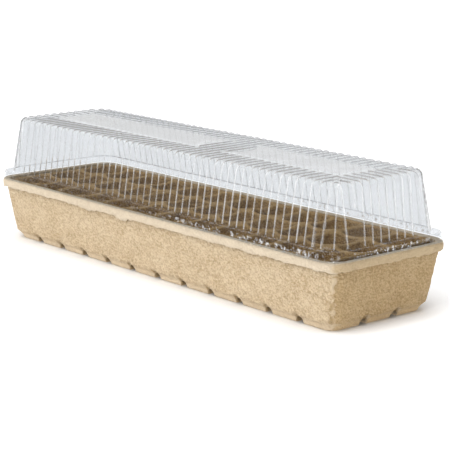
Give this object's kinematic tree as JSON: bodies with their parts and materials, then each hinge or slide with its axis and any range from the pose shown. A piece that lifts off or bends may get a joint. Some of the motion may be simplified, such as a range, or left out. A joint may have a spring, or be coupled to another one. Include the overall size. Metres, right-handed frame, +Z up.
{
  "type": "humidity dome tray",
  "caption": "Long windowsill seed-starting tray in moulded fibre, with fibre cell packs inside and a clear ribbed cover that lifts off.",
  "frame": {"origin": "centre of the tray's underside, in the plane of its feet", "axes": "+X along the tray, +Y across it, +Z up"},
  "size_m": [0.573, 0.164, 0.1424],
  "materials": {
    "tan_fibre": "rough moulded fibre",
    "brown_fibre": "rough moulded fibre",
    "clear_sheet": "clear thermoformed plastic sheet"
  },
  "bodies": {
    "tray": {"tray": "tan_fibre"},
    "dome_cover": {"dome_cover": "clear_sheet"},
    "cell_pack_1": {"cell_pack_1": "brown_fibre"},
    "cell_pack_2": {"cell_pack_2": "brown_fibre"},
    "cell_pack_3": {"cell_pack_3": "brown_fibre"},
    "cell_pack_4": {"cell_pack_4": "brown_fibre"},
    "cell_pack_5": {"cell_pack_5": "brown_fibre"},
    "cell_pack_6": {"cell_pack_6": "brown_fibre"}
  },
  "joints": [
    {"name": "cover_lift", "type": "slide", "parent": "tray", "child": "dome_cover", "axis": [0, 0, 1], "range_m": [0, 0.12]},
    {"name": "pack_1_lift", "type": "slide", "parent": "tray", "child": "cell_pack_1", "axis": [0, 0, 1], "range_m": [0, 0.0055]},
    {"name": "pack_2_lift", "type": "slide", "parent": "tray", "child": "cell_pack_2", "axis": [0, 0, 1], "range_m": [0, 0.0055]},
    {"name": "pack_3_lift", "type": "slide", "parent": "tray", "child": "cell_pack_3", "axis": [0, 0, 1], "range_m": [0, 0.0055]},
    {"name": "pack_4_lift", "type": "slide", "parent": "tray", "child": "cell_pack_4", "axis": [0, 0, 1], "range_m": [0, 0.0055]},
    {"name": "pack_5_lift", "type": "slide", "parent": "tray", "child": "cell_pack_5", "axis": [0, 0, 1], "range_m": [0, 0.0055]},
    {"name": "pack_6_lift", "type": "slide", "parent": "tray", "child": "cell_pack_6", "axis": [0, 0, 1], "range_m": [0, 0.0055]}
  ]
}
